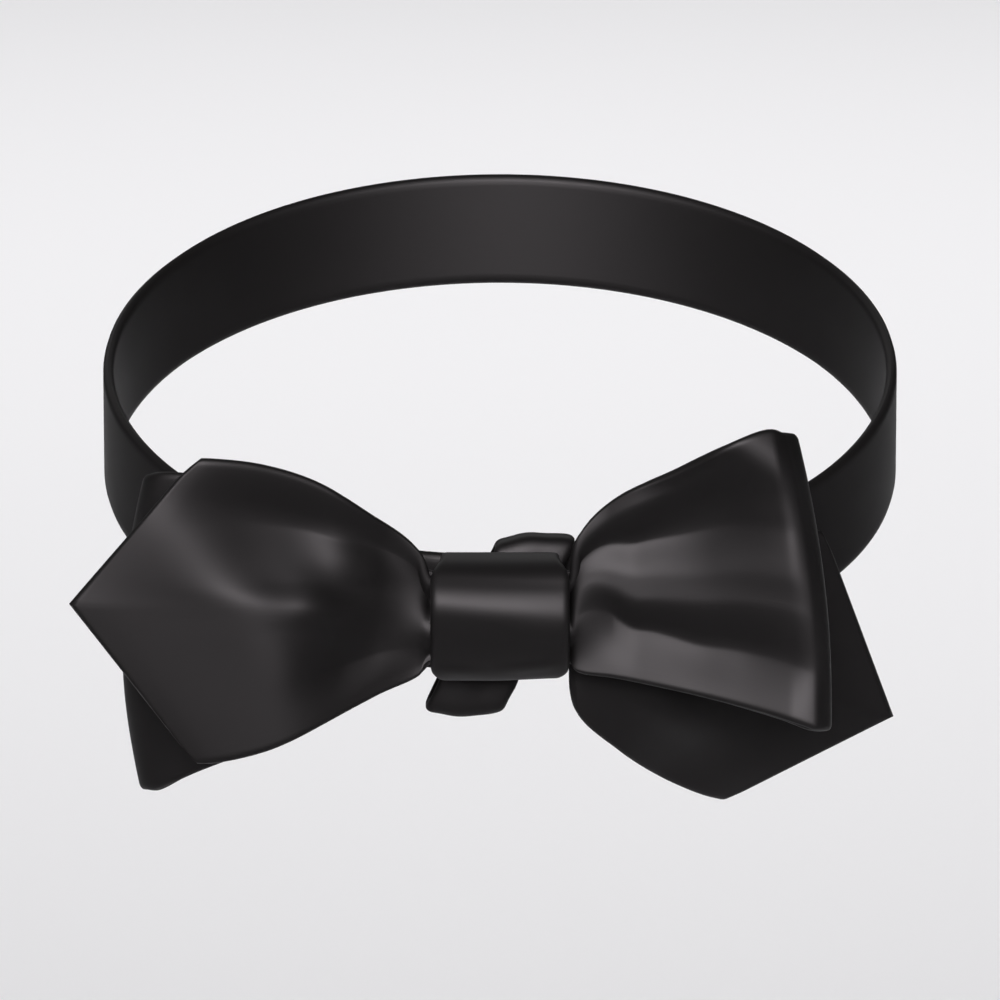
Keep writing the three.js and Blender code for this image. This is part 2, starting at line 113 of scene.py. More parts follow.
class BowTieStage(bpy.types.PropertyGroup):
    camera_rise: FloatProperty(
        name="Camera rise", description="Height of the camera above the tie, as an angle",
        default=math.radians(13), subtype="ANGLE")
    camera_distance: FloatProperty(
        name="Camera distance", description="From the camera to the tie", default=1.3,
        min=0.3, max=5.0, unit="LENGTH")
    view_width: FloatProperty(
        name="View width", description="Width that the picture takes in at the tie",
        default=0.156, min=0.05, max=1.0, unit="LENGTH")
    floor_drop: FloatProperty(
        name="Floor drop", description="From the lowest cloth down to the floor",
        default=0.50, min=0.0, max=1.0, unit="LENGTH")
    floor_colour: StringProperty(
        name="Floor colour", description="Colour of the paper floor, as sRGB hex",
        default="f4f3f5")


# Tables of the bows

def table(names, *rows):
    """A short table as a list of dictionaries with named columns."""
    return [dict(zip(names.split(), row)) for row in rows]


# A row is a line of cloth from its foot to its top. Its reach and rise are shares of its wing's
# reach and height, forward a share of the billow, and point its share of the diamond's point.
ROW = "top_reach top_rise foot_reach foot_rise forward point"

# Front bow: the diamond end on the left, from its shoulders to the knot
FRONT_END_ROWS = table(
    ROW,
    (0.650, 0.582, 0.655, -0.418, -0.10, 1.00),
    (0.600, 0.580, 0.595, -0.412, -0.06, 0.82),
    (0.465, 0.553, 0.460, -0.372, -0.02, 0.50),
    (0.300, 0.480, 0.290, -0.290, 0.00, 0.22),
    (0.155, 0.358, 0.150, -0.228, 0.00, 0.06),
    (0.035, 0.238, 0.035, -0.182, 0.00, 0.00),
)
# Front bow: the loop on the right, from the knot to its fold, and back behind
FRONT_LOOP_ROWS = table(
    ROW,
    (0.040, 0.305, 0.035, -0.175, 0.06, 0.00),
    (0.180, 0.432, 0.170, -0.190, 0.06, 0.00),
    (0.400, 0.540, 0.400, -0.220, 0.06, 0.00),
    (0.640, 0.666, 0.660, -0.260, 0.03, 0.00),
    (0.770, 0.694, 0.860, -0.298, 0.00, 0.00),
)
FRONT_FOLD_ROW = table(ROW, (0.862, 0.690, 1.000, -0.318, 0.72, 0.0))[0]
FRONT_LOOP_REAR_ROWS = table(
    ROW,
    (0.740, 0.570, 0.820, -0.345, 0.04, 0.0),
    (0.450, 0.480, 0.500, -0.265, 0.00, 0.0),
    (0.160, 0.315, 0.180, -0.190, 0.00, 0.0),
)
# Back bow: the drooping diamond end on the right
BACK_END_ROWS = table(
    ROW,
    (0.776, 0.245, 0.480, -0.785, -0.70, 1.00),
    (0.700, 0.265, 0.405, -0.750, -0.56, 0.80),
    (0.530, 0.270, 0.280, -0.665, -0.36, 0.48),
    (0.320, 0.262, 0.150, -0.530, -0.18, 0.20),
    (0.130, 0.215, 0.020, -0.360, -0.10, 0.00),
)
# Back bow: the loop on the left, out from the knot behind, round its fold and back in front
BACK_LOOP_REAR_ROWS = table(
    ROW,
    (0.060, 0.185, 0.060, -0.190, -0.05, 0.0),
    (0.250, 0.285, 0.250, -0.325, -0.32, 0.0),
    (0.520, 0.350, 0.520, -0.480, -0.57, 0.0),
    (0.760, 0.375, 0.760, -0.600, -0.63, 0.0),
)
BACK_FOLD_ROW = table(ROW, (0.900, 0.475, 0.930, -0.610, -0.63, 0.0))[0]
BACK_LOOP_ROWS = table(
    ROW,
    (0.740, 0.462, 0.760, -0.545, 0.05, 0.0),
    (0.480, 0.395, 0.500, -0.430, 0.08, 0.0),
    (0.200, 0.265, 0.210, -0.265, 0.03, 0.0),
)

# Where the cloth, coming out of the knot, reaches its most forward place, from foot to top
CREST = "across along"
FRONT_END_CREST = table(
    CREST,
    (-1.00, 0.35), (-0.74, 0.36), (-0.46, 0.37), (-0.20, 0.40), (0.02, 0.44),
    (0.18, 0.54), (0.45, 0.64), (0.69, 0.70), (1.00, 0.72),
)
FRONT_LOOP_CREST = table(
    CREST,
    (-1.00, 1.010), (-0.50, 0.990), (-0.20, 0.945), (0.00, 0.880),
    (0.19, 0.845), (0.40, 0.825), (0.62, 0.785), (0.80, 0.690),
    (1.00, 0.560),
)
LEVEL_CREST = table(CREST, (0.0, 0.5))

# Ribs stand forward and hollows sink, in millimetres, each along its own line on the wing:
# near the knot, further out and at the crest
RIB = "near_across near_rise mid_across mid_rise far_across far_rise"
FRONT_END_RIBS = table(
    RIB,
    (-1.00, 0.0, -1.00, 0.0, -1.00, 0.2),
    (-0.80, -0.2, -0.92, -0.2, -0.92, 0.2),
    (-0.52, -0.6, -0.60, -1.8, -0.56, -2.0),
    (0.12, 0.4, 0.00, 2.2, 0.00, 1.0),
    (0.40, 0.3, 0.22, 2.4, 0.16, 0.9),
    (0.70, 0.0, 0.56, 1.2, 0.56, 0.3),
    (1.00, 0.8, 1.00, 4.4, 1.00, 3.5),
)
FRONT_LOOP_RIBS = table(
    RIB,
    (-1.00, -0.1, -1.00, -0.4, -1.00, -0.6),
    (-0.15, -1.0, -0.50, -2.0, -0.62, -2.4),
    (0.20, 0.6, -0.16, 0.7, -0.22, 0.9),
    (0.32, 0.6, 0.06, 0.7, -0.02, 0.7),
    (0.60, -0.4, 0.38, -0.6, 0.32, -1.0),
    (0.84, 0.4, 0.82, 2.4, 0.82, 2.0),
    (1.00, 0.3, 1.00, 2.2, 1.00, 1.8),
)
BACK_END_RIBS = table(
    RIB,
    (-1.00, 0.0, -1.00, 0.0, -1.00, 0.0),
    (-0.50, 0.8, -0.50, 1.0, -0.45, 0.8),
    (0.30, 0.0, 0.30, 0.0, 0.30, 0.0),
    (1.00, 0.0, 1.00, 0.0, 1.00, 0.0),
)

# Soft rounded swells in the cloth: place and size along and across the wing, rise in millimetres
SWELL = "along across length breadth rise"
FRONT_END_SWELLS = table(
    SWELL,
    (0.235, 0.46, 0.080, 0.24, 1.5),
    (0.330, 0.05, 0.060, 0.20, 0.9),
)
BACK_END_SWELLS = table(
    SWELL,
    (0.345, -0.45, 0.130, 0.20, 1.5),
)

# A wing is one run of cloth out of the knot. Layer -1 is in front in the knot, 0 inside and 1
# behind, and side -1 is the left. The cloth bends over its crest with a sharpness, rises to it by
# a power at its top and one at its foot, and falls beyond it. Lean takes its foot back, tilt its
# top, bulge rounds its outline outwards, and gathered is its share of the waist's height.
WING = ("layer side reach height crest sharpness top_power foot_power fall hollow "
        "billow ribs swells lean tilt bulge gathered")

# Where along a wing the three places of a rib lie, and how evenly the cloth runs between ribs
NEAR, MID, FAR = 0.05, 0.28, 0.55
EVEN = 0.4
# Where the ribs fade, as shares of the way to the crest
RIBS_FADE = (0.65, 1.15)
# Pleats in the knot: half waves across the cloth, and where they start
PLEATS = 1.5
PLEAT_START = 0.35
# Shares of a wing's reach: where its lean is full, its folds are, and its bulge starts and is full
LEAN_FULL = 0.25
FOLDS_FULL = 0.08
BULGE_PLACES = (0.5, 0.9)
# Steps round a loop's fold, how far it sinks with its depth, and the drop that rounds its corner
TURN_STEPS = 5
LOOP_TIP = 0.28
LOOP_CORNER = 0.6 * MM
# Rounded corners of a diamond end: where they start across, their breadth and their length
CORNER_START, CORNER_BREADTH, CORNER_LENGTH = 0.84, 0.16, 0.08
# Rows in the knot, across its half width, where cloth passes through and where it ends
WAIST_PLACES = (-1, -0.5, 0, 0.5, 1)
TAIL_PLACES = (1, 0.5, 0.1)

# The room that the knot has over the waist, its depth, and each wrap's own sizes
WAIST_ROOM = 5.1 * MM
KNOT_DEPTH = 14.1 * MM
KNOT_WALL = 1.8 * MM
THROAT_DEPTH = 5.5 * MM
THROAT_WIDTH = 12.6 * MM
THROAT_SLANT = 0.4
THROAT_WALL = 1.8 * MM
BAND_WIDTH = 19 * MM
BAND_WALL = 1.8 * MM
BAND_HALF_WIDTH = (BAND_HIGH.x - BAND_LOW.x - BAND_WALL) / 2
BAND_HALF_DEPTH = (BAND_HIGH.y - BAND_LOW.y - BAND_WALL) / 2


def make_wings():
    """The six wings. A loop has two, one in front and one in the rear."""
    front_end, front_loop, back_end, back_loop = table(
        WING,
        (-1, -1, 67.2 * MM, 48.9 * MM, FRONT_END_CREST, 5,
         2.4, 1.4, 0.4, 0.5, 1, FRONT_END_RIBS, FRONT_END_SWELLS, 0, 0, 0, 0.92),
        (-1, 1, 51.4 * MM, 46.5 * MM, FRONT_LOOP_CREST, 3.5,
         3.2, 1.7, 1.0, 0, 1, FRONT_LOOP_RIBS, [], 0, 0.12, 1.6 * MM, 0.92),
        (1, 1, 63.2 * MM, 45.3 * MM, LEVEL_CREST, 5,
         2, 2, 0, 0, 0, BACK_END_RIBS, BACK_END_SWELLS, 0.28, 0, 0, 0.92),
        (0, -1, 60.2 * MM, 50.0 * MM, LEVEL_CREST, 5,
         2, 2, 0, 0, 0, [], [], 0.28, 0, 3.2 * MM, 1.0),
    )
    return {
        "front_end": front_end,
        "front_loop": front_loop,
        "front_loop_rear": {**front_loop, "layer": 0, "billow": 0, "ribs": [], "gathered": 1.0},
        "back_end": back_end,
        "back_loop": back_loop,
        "back_loop_rear": {**back_loop, "layer": 1, "gathered": 0.92},
    }


# Shapes of the cloth

def smooth(value, start, end):
    """0 up to the start and 1 from the end, with a soft rise between."""
    way = np.clip((value - start) / (end - start), 0, 1)
    return way * way * (3 - 2 * way)


def rib_height(ribs, along, across):
    """How far the ribs lift the cloth at places along and across a wing."""
    if not ribs:
        return np.zeros_like(along)
    to_mid, to_far = smooth(along, NEAR, MID), smooth(along, MID, FAR)

    def at_place(rib, what):
        near, mid, far = rib["near_" + what], rib["mid_" + what], rib["far_" + what]
        return near + (mid - near) * to_mid + (far - mid) * to_far

    height = at_place(ribs[0], "rise")
    for before, after in zip(ribs, ribs[1:]):
        start, end = at_place(before, "across"), at_place(after, "across")
        rise = at_place(after, "rise") - at_place(before, "rise")
        way = np.clip((across - start) / (end - start), 0, 1)
        height = height + rise * (EVEN * way + (1 - EVEN) * smooth(across, start, end))
    return height * MM


def crest_along(crest, across):
    """Smooth curve through a crest's places."""
    places = np.array([row["across"] for row in crest])
    values = np.array([row["along"] for row in crest])
    if len(places) == 1:
        return np.full_like(across, values[0])
    slopes = np.gradient(values, places)
    before = np.clip(np.searchsorted(places, across) - 1, 0, len(places) - 2)
    span = places[before + 1] - places[before]
    way = (across - places[before]) / span
    rise = values[before + 1] - values[before]
    return (values[before] + rise * way ** 2 * (3 - 2 * way)
            + span * way * (1 - way) * (slopes[before] * (1 - way) - slopes[before + 1] * way))


def catmull_rom(points, places):
    """Centripetal curve through points, read at places counted in points."""
    points = np.asarray(points, float)
    before = np.clip(places.astype(int), 0, len(points) - 2)
    way = (places - before)[:, None]
    start, end = points[before], points[before + 1]
    first = np.where(before[:, None] > 0, points[before - 1], 2 * start - end)
    final = np.where(
        before[:, None] + 2 < len(points),
        points[np.minimum(before + 2, len(points) - 1)], 2 * end - start)
    step_in = np.linalg.norm(start - first, axis=1, keepdims=True) ** 0.5
    step = np.linalg.norm(end - start, axis=1, keepdims=True) ** 0.5
    step_out = np.linalg.norm(final - end, axis=1, keepdims=True) ** 0.5
    leave = ((start - first) / step_in - (end - first) / (step_in + step)
             + (end - start) / step) * step
    arrive = ((end - start) / step - (final - start) / (step + step_out)
              + (final - end) / step_out) * step
    return (start * (1 - 3 * way ** 2 + 2 * way ** 3) + end * (3 * way ** 2 - 2 * way ** 3)
            + leave * (way - 2 * way ** 2 + way ** 3) + arrive * (way ** 3 - way ** 2))


class Tie:
    """Places and sizes that the pieces share, worked out from the frame."""

    def __init__(self, cloth):
        self.cloth = cloth
        self.pitch = cloth.cloth + cloth.layer_gap
        self.edge = (KNOT_HIGH.x - KNOT_LOW.x) / 2
        self.waist = (KNOT_HIGH.z - KNOT_LOW.z) - WAIST_ROOM
        self.bow_z = (KNOT_HIGH.z + KNOT_LOW.z) / 2
        self.knot_y = KNOT_HIGH.y - KNOT_DEPTH / 2


def wing_row(tie, wing, row):
    """A table's row of a wing at its place, outside the knot."""
    def place(reach, rise):
        away = min(reach / LEAN_FULL, 1) * wing["height"]
        back = away * (wing["lean"] * max(-rise, 0) + wing["tilt"] * rise)
        return np.array([
            wing["side"] * (tie.edge + reach * (wing["reach"] - tie.edge)),
            tie.knot_y + wing["layer"] * tie.pitch - row["forward"] * tie.cloth.billow + back,
            tie.bow_z + rise * wing["height"],
        ])

    along = (row["top_reach"] + row["foot_reach"]) / 2
    return {
        "top": place(row["top_reach"], row["top_rise"]),
        "foot": place(row["foot_reach"], row["foot_rise"]),
        "point": row["point"], "along": along, "wing": wing,
        "folded": float(smooth(along, 0, FOLDS_FULL)), "billowed": 1.0,
    }


def waist_row(tie, wing, along):
    """A row of gathered cloth inside the knot."""
    def place(rise):
        return np.array([
            along * tie.edge, tie.knot_y + wing["layer"] * tie.pitch,
            tie.bow_z + rise * wing["gathered"] * tie.waist / 2,
        ])

    return {"top": place(1), "foot": place(-1), "point": 0.0, "along": 0.0, "wing": wing,
            "folded": 0.0, "billowed": 0.0}


def turn_rows(tie, wing, row, turn):
    """Rows round a loop's fold, to the rear where turn is 1 and to the front where it is -1."""
    rows = []
    for step in range(1, TURN_STEPS):
        angle = math.pi * step / TURN_STEPS
        billowed = (1 + math.cos(angle)) / 2 * wing["billow"]
        turned = wing_row(tie, wing, {**row, "forward": row["forward"] * (1 - billowed)})
        behind = tie.cloth.loop_depth / 2 * (1 - math.cos(angle if turn > 0 else math.pi - angle))
        for edge in ("top", "foot"):
            turned[edge][0] -= wing["side"] * tie.cloth.loop_depth / 2 * (1 - math.sin(angle))
            turned[edge][1] += turn * tie.cloth.loop_depth / 2 * (1 - math.cos(angle))
            turned[edge][2] -= LOOP_TIP * behind
        turned["top"][2] -= LOOP_CORNER * math.sin(angle)
        turned["folded"] = max(math.cos(angle), 0.0)
        turned["billowed"] = billowed
        rows.append(turned)
    return rows


def row_relief(tie, row, across, x):
    """How far a row's cloth stands forward of its straight line, at places across and x."""
    wing = row["wing"]
    along = np.clip((wing["side"] * x - tie.edge) / (wing["reach"] - tie.edge), 0, 1)
    crest = crest_along(wing["crest"], across)
    inside = 1 - smooth(along / crest, *RIBS_FADE)
    folds = inside * rib_height(wing["ribs"], along, across)
    pleats = (tie.cloth.pleat_rise * np.cos(math.pi * (PLEATS * across + PLEAT_START))
              * (1 - across ** 4))
    height = pleats + row["folded"] * (folds - pleats)
    for swell in wing["swells"]:
        height = height + row["folded"] * swell["rise"] * MM * np.exp(
            -((along - swell["along"]) / swell["length"]) ** 2
            - ((across - swell["across"]) / swell["breadth"]) ** 2)
    power = wing["top_power"] + (wing["foot_power"] - wing["top_power"]) * (1 - across) / 2
    rising = (along / crest) ** power
    beyond = along - crest
    falling = 1 - wing["fall"] * beyond + wing["hollow"] * beyond ** 2
    sharp = wing["sharpness"]
    billow = -np.log(np.exp(-sharp * rising) + np.exp(-sharp * falling)) / sharp
    return height + row["billowed"] * wing["billow"] * tie.cloth.billow * billow


def strip_surface(tie, rows, point, corners, u, v):
    """Places on a strip's middle surface, for arrays u and v from 0 to 1. The strip starts with a
    diamond's point, and corners says how far its top and its foot corner are rounded."""
    across = 2 * v - 1
    corner = np.clip((np.abs(across) - CORNER_START) / CORNER_BREADTH, 0, 1) ** 2
    rounding = np.where(across > 0, *corners)
    u = u + rounding * corner * np.clip(1 - u / CORNER_LENGTH, 0, 1)
    places = u * (len(rows) - 1)
    top = catmull_rom([row["top"] for row in rows], places)
    foot = catmull_rom([row["foot"] for row in rows], places)
    surface = foot + (top - foot) * v[:, None]
    before = np.clip(places.astype(int), 0, len(rows) - 2)
    blend = places - before
    points = np.array([row["point"] for row in rows])
    pointed = points[before] + blend * (points[before + 1] - points[before])
    surface += np.asarray(point) * (pointed * (1 - np.abs(across)))[:, None]
    relief = np.zeros(len(u))
    for index, row in enumerate(rows):
        share = np.clip(1 - np.abs(places - index), 0, 1)
        near = share > 0
        relief[near] += share[near] * row_relief(tie, row, across[near], surface[near, 0])
        surface[near, 0] += share[near] * row["wing"]["side"] * row["wing"]["bulge"] * (
            smooth(row["along"], *BULGE_PLACES) * (1 - across[near] ** 2))
    surface[:, 1] -= relief
    return surface


# Modelling

# An edge is rolled to a share of the cloth's thickness, and its rim keeps a share of it
EDGE_ROLL = 0.7
EDGE_RIM = 0.06
EDGE_PACKING = 1.35
WELD_DISTANCE = 0.01 * MM


def deselect():
    for obj in bpy.context.selected_objects:
        obj.select_set(False)


def select_only(obj):
    deselect()
    obj.select_set(True)
    bpy.context.view_layer.objects.active = obj


def cloth_wall(name, columns, rows, surface, size, thickness, closed=False):
    """A wall of cloth with rolled edges, shaped by surface(u, v). Its size is along and across,
    and its UV map holds millimetres. A closed wall joins its last row to its first."""
    deselect()
    bpy.ops.mesh.primitive_grid_add(x_subdivisions=rows, y_subdivisions=columns, size=2)
    obj = bpy.context.object
    obj.name = name
    mesh = obj.data
    mesh.name = name
    flat = np.zeros(len(mesh.vertices) * 3)
    mesh.vertices.foreach_get("co", flat)
    flat = flat.reshape(-1, 3)
    u = np.clip((flat[:, 0] + 1) / 2, 0, 1)
    v = edge_packed(np.clip((flat[:, 1] + 1) / 2, 0, 1))
    mesh.vertices.foreach_set("co", surface(u, v).ravel())
    along, across = size
    loops = np.zeros(len(mesh.loops), int)
    mesh.loops.foreach_get("vertex_index", loops)
    layer = mesh.uv_layers.active or mesh.uv_layers.new(name="Cloth")
    layer.name = "Cloth"
    uv = np.column_stack([u[loops] * along / MM, v[loops] * across / MM])
    layer.data.foreach_set("uv", uv.ravel())
    inward = (1 - np.abs(2 * v - 1)) * across / 2
    if not closed:
        inward = np.minimum(inward, np.minimum(u, 1 - u) * along)
    wall = obj.vertex_groups.new(name="wall")
    for index, weight in enumerate(rolled(inward, EDGE_ROLL * thickness)):
        wall.add([index], float(weight), "REPLACE")
    if closed:
        weld(obj)
    thicken(obj, thickness, wall)
    return obj


def edge_packed(v):
    """Draws the outer columns together, so the rolled edges are round."""
    side = 2 * v - 1
    return (np.sign(side) * (1 - (1 - np.abs(side)) ** EDGE_PACKING) + 1) / 2


def rolled(distance, radius):
    """Wall share at a distance from an edge that is rolled to a radius."""
    inward = np.clip(distance / radius, 0, 1)
    return np.sqrt(np.clip(1 - (1 - inward) ** 2, 0, 1))


def weld(obj):
    """Joins a closed wall's last row to its first, and turns its faces outwards."""
    select_only(obj)
    bpy.ops.object.mode_set(mode="EDIT")
    bpy.ops.mesh.select_all(action="SELECT")
    bpy.ops.mesh.remove_doubles(threshold=WELD_DISTANCE)
    bpy.ops.mesh.normals_make_consistent(inside=False)
    bpy.ops.object.mode_set(mode="OBJECT")


def thicken(obj, thickness, wall):
    """Gives the cloth its thickness, drawn in where the wall group falls towards its edges."""
    solid = obj.modifiers.new("Wall", "SOLIDIFY")
    solid.thickness = thickness
    solid.offset = 0
    solid.vertex_group = wall.name
    solid.thickness_vertex_group = EDGE_RIM
    solid.use_even_offset = False
    select_only(obj)
    bpy.ops.object.modifier_apply(modifier=solid.name)
    bpy.ops.object.shade_smooth()


def finish_piece(obj, material, node):
    obj.data.materials.clear()
    obj.data.materials.append(material)
    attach(obj, "root")
    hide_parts(node)


# Materials

# The satin's patterns: how often its warp lines change in each millimetre of their length, how
# deep they are, and its patches of softer and harder sheen, which are about 22 mm wide
WARP_CHANGES = 0.12
WARP_DEPTH = 0.03 * MM
PATCH_SCALE = 45.0
PATCH_ROUGHNESS = 0.04


def linear(hex_colour):
    """Linear colour, with alpha, of an sRGB hex value."""
    channels = [int(hex_colour[i:i + 2], 16) / 255 for i in (0, 2, 4)]
    return [c / 12.92 if c <= 0.04045 else ((c + 0.055) / 1.055) ** 2.4 for c in channels] + [1.0]


def add_node(tree, kind, links=(), **settings):
    """Adds a node, sets its sockets by name or its own properties, and links sockets into it."""
    node = tree.nodes.new(kind)
    for key, value in settings.items():
        if hasattr(node, key):
            setattr(node, key, value)
        else:
            node.inputs[key.replace("_", " ")].default_value = value
    for socket, source in links:
        tree.links.new(source, node.inputs[socket])
    return node


def make_satin():
    """Black silk satin, woven: long warp floats lie side by side, so the face is smooth and black
    with a broad soft sheen. The real floats are too fine to show, so their faint lines are drawn
    coarser, and they show only in the highlights."""
    satin = bpy.context.scene.bow_tie_satin
    material = bpy.data.materials.new("Black silk satin")
    material.use_nodes = True
    tree = material.node_tree
    shader = tree.nodes["Principled BSDF"]
    uv = add_node(tree, "ShaderNodeUVMap", uv_map="Cloth")
    lines = add_node(
        tree, "ShaderNodeMapping", [("Vector", uv.outputs["UV"])],
        Scale=(WARP_CHANGES, MM / satin.thread, 1.0))
    warp = add_node(
        tree, "ShaderNodeTexNoise", [("Vector", lines.outputs["Vector"])],
        Scale=1.0, Detail=2.0, Roughness=0.5)
    object_place = add_node(tree, "ShaderNodeTexCoord")
    patches = add_node(
        tree, "ShaderNodeTexNoise", [("Vector", object_place.outputs["Object"])],
        Scale=PATCH_SCALE, Detail=2.0, Roughness=0.5)
    colour = add_node(
        tree, "ShaderNodeMix", [("Factor", warp.outputs["Fac"])], data_type="RGBA")
    colour.inputs["A"].default_value = linear(satin.face)
    colour.inputs["B"].default_value = linear(satin.warp)
    rough = add_node(
        tree, "ShaderNodeMapRange", [("Value", patches.outputs["Fac"])],
        To_Min=satin.roughness - PATCH_ROUGHNESS, To_Max=satin.roughness + PATCH_ROUGHNESS)
    bump = add_node(
        tree, "ShaderNodeBump", [("Height", warp.outputs["Fac"])],
        Strength=0.25, Distance=WARP_DEPTH)
    for socket, source in (("Base Color", colour.outputs["Result"]),
                           ("Roughness", rough.outputs["Result"]),
                           ("Normal", bump.outputs["Normal"])):
        tree.links.new(source, shader.inputs[socket])
    shader.inputs["Specular IOR Level"].default_value = 0.40
    shader.inputs["Specular Tint"].default_value = linear("fff7fb")
    return material


def satin_material():
    return bpy.data.materials.get("Black silk satin") or make_satin()


def make_paper(colour):
    """Pale paper, matt: it takes the soft shadows without a shine."""
    material = bpy.data.materials.new("Pale paper")
    material.use_nodes = True
    shader = material.node_tree.nodes["Principled BSDF"]
    shader.inputs["Base Color"].default_value = linear(colour)
    shader.inputs["Roughness"].default_value = 0.9
    return material


# The bows

def bow_point(rows, wing, lift, back):
    """From the middle of a diamond end's shoulders to its point."""
    shoulder = (rows[0]["top"] + rows[0]["foot"]) / 2
    return np.array([wing["side"] * wing["reach"] - shoulder[0], back, lift * wing["height"]])


def build_bow(tie, name, rows, point, corners, size):
    cloth = tie.cloth
    return cloth_wall(
        name, cloth.columns, cloth.rows,
        lambda u, v: strip_surface(tie, rows, point, corners, u, v), size, cloth.cloth)


class BOWTIE_OT_front_bow(bpy.types.Operator):
    """Front blade: diamond end on the left, loop on the right"""
    bl_idname = "bow_tie.front_bow"
    bl_label = "Front Bow"

    def execute(self, context):
        tie = Tie(context.scene.bow_tie_cloth)
        wings = make_wings()
        end, loop, rear = wings["front_end"], wings["front_loop"], wings["front_loop_rear"]
        rows = (
            [wing_row(tie, end, row) for row in FRONT_END_ROWS]
            + [waist_row(tie, end, along) for along in WAIST_PLACES]
            + [wing_row(tie, loop, row) for row in FRONT_LOOP_ROWS]
            + turn_rows(tie, loop, FRONT_FOLD_ROW, 1)
            + [wing_row(tie, rear, row) for row in FRONT_LOOP_REAR_ROWS]
            + [waist_row(tie, rear, along) for along in TAIL_PLACES]
        )
        point = bow_point(rows, end, lift=0.028, back=0)
        obj = build_bow(tie, "front_bow_satin", rows, point, corners=(0.016, 0.005),
                        size=(0.186, 0.050))
        finish_piece(obj, satin_material(), "front_bow")
        return {"FINISHED"}


class BOWTIE_OT_back_bow(bpy.types.Operator):
    """Back blade: loop on the left, drooping diamond end on the right"""
    bl_idname = "bow_tie.back_bow"
    bl_label = "Back Bow"

    def execute(self, context):
        tie = Tie(context.scene.bow_tie_cloth)
        wings = make_wings()
        end, loop, rear = wings["back_end"], wings["back_loop"], wings["back_loop_rear"]
        rows = (
            [wing_row(tie, end, row) for row in BACK_END_ROWS]
            + [waist_row(tie, end, -along) for along in WAIST_PLACES]
            + [wing_row(tie, rear, row) for row in BACK_LOOP_REAR_ROWS]
            + turn_rows(tie, rear, BACK_FOLD_ROW, -1)
            + [wing_row(tie, loop, row) for row in BACK_LOOP_ROWS]
            + [waist_row(tie, loop, -along) for along in TAIL_PLACES]
        )
        point = bow_point(rows, end, lift=-0.205, back=4 * MM)
        obj = build_bow(tie, "back_bow_satin", rows, point, corners=(0.005, 0.005),
                        size=(0.190, 0.050))
        finish_piece(obj, satin_material(), "back_bow")
        return {"FINISHED"}


# The wraps

def squared_oval(angle, half_depth, half_height, squareness):
    """Places round a wrap, from its front over its top. Squareness 2 is an ellipse."""
    power = 2 / squareness
    forward = np.sign(np.cos(angle)) * np.abs(np.cos(angle)) ** power
    upward = np.sign(np.sin(angle)) * np.abs(np.sin(angle)) ** power
    return -forward * half_depth, upward * half_height


# Folds on the knot's front: level and slant as shares of its half height, breadth up and down,
# rise in millimetres, and the place and width across the knot
KNOT_FOLDS = table(
    "level slant breadth rise place width",
    (0.74, -0.04, 0.10, -0.20, 0.0, 3.0),
    (0.02, -0.10, 0.15, 0.15, 0.6, 0.4),
    (-0.76, 0.10, 0.10, 0.40, 0.4, 0.4),
    (-0.82, -0.05, 0.10, 0.35, -0.6, 0.3),
)
KNOT_SQUARENESS = 3
# The knot's back is narrower than its front by this share, and widens up to a place on the way
KNOT_GATHER = 0.86
KNOT_FULL = 0.75
# The ridge over the knot's front: its level and slant, its roundness, how steeply the front falls
# above and below it, how far it stands forward and how far the knot's two sides fall back
KNOT_RIDGE = 0.30
KNOT_RIDGE_SLANT = -0.13
RIDGE_SHARPNESS = 12
SLOPE_ABOVE = 0.22
SLOPE_BELOW = 0.36
KNOT_CROWN = 3.0 * MM
KNOT_SIDES = 0.5 * MM
# How far the knot's bottom is lifted on the right, as a share, and where across it starts
KNOT_LIFT = 0.045
KNOT_LIFT_START = -0.2


def soft_above(value):
    """The value where it is positive and 0 where it is negative, with a round bend between."""
    return np.logaddexp(0, value * RIDGE_SHARPNESS) / RIDGE_SHARPNESS


class BOWTIE_OT_knot(bpy.types.Operator):
    """Strap wrapped once over the waist of the bow"""
    bl_idname = "bow_tie.knot"
    bl_label = "Knot"

    def execute(self, context):
        tie = Tie(context.scene.bow_tie_cloth)
        half_height = (KNOT_HIGH.z - KNOT_LOW.z - KNOT_WALL) / 2
        half_depth = (KNOT_DEPTH - KNOT_WALL) / 2

        def surface(u, v):
            angle = 2 * math.pi * u
            across = 2 * v - 1
            y, z = squared_oval(angle, half_depth, half_height, KNOT_SQUARENESS)
            level = z / half_height
            spread = KNOT_GATHER + (1 - KNOT_GATHER) * smooth(np.cos(angle), 0.0, KNOT_FULL)
            front = np.maximum(np.cos(angle), 0)
            ridge = KNOT_RIDGE + KNOT_RIDGE_SLANT * across
            slope = (SLOPE_ABOVE * soft_above(level - ridge)
                     + SLOPE_BELOW * soft_above(ridge - level))
            crown = KNOT_CROWN - half_height * slope - KNOT_SIDES * across ** 2
            wrinkle = np.zeros_like(level)
            for fold in KNOT_FOLDS:
                over = (level - fold["level"] - fold["slant"] * across) / fold["breadth"]
                beside = (across - fold["place"]) / fold["width"]
                wrinkle += fold["rise"] * np.exp(-over ** 2) * np.exp(-beside ** 2)
            lifted = np.where(z < 0, 1 - KNOT_LIFT * smooth(across, KNOT_LIFT_START, 1), 1)
            return np.column_stack([
                across * tie.edge * spread, tie.knot_y + y - front * (crown + wrinkle * MM),
                tie.bow_z + z * lifted])

        obj = cloth_wall("knot_satin", 60, 240, surface, (0.060, 0.022), KNOT_WALL, closed=True)
        finish_piece(obj, satin_material(), "knot")
        return {"FINISHED"}


THROAT_SQUARENESS = 5
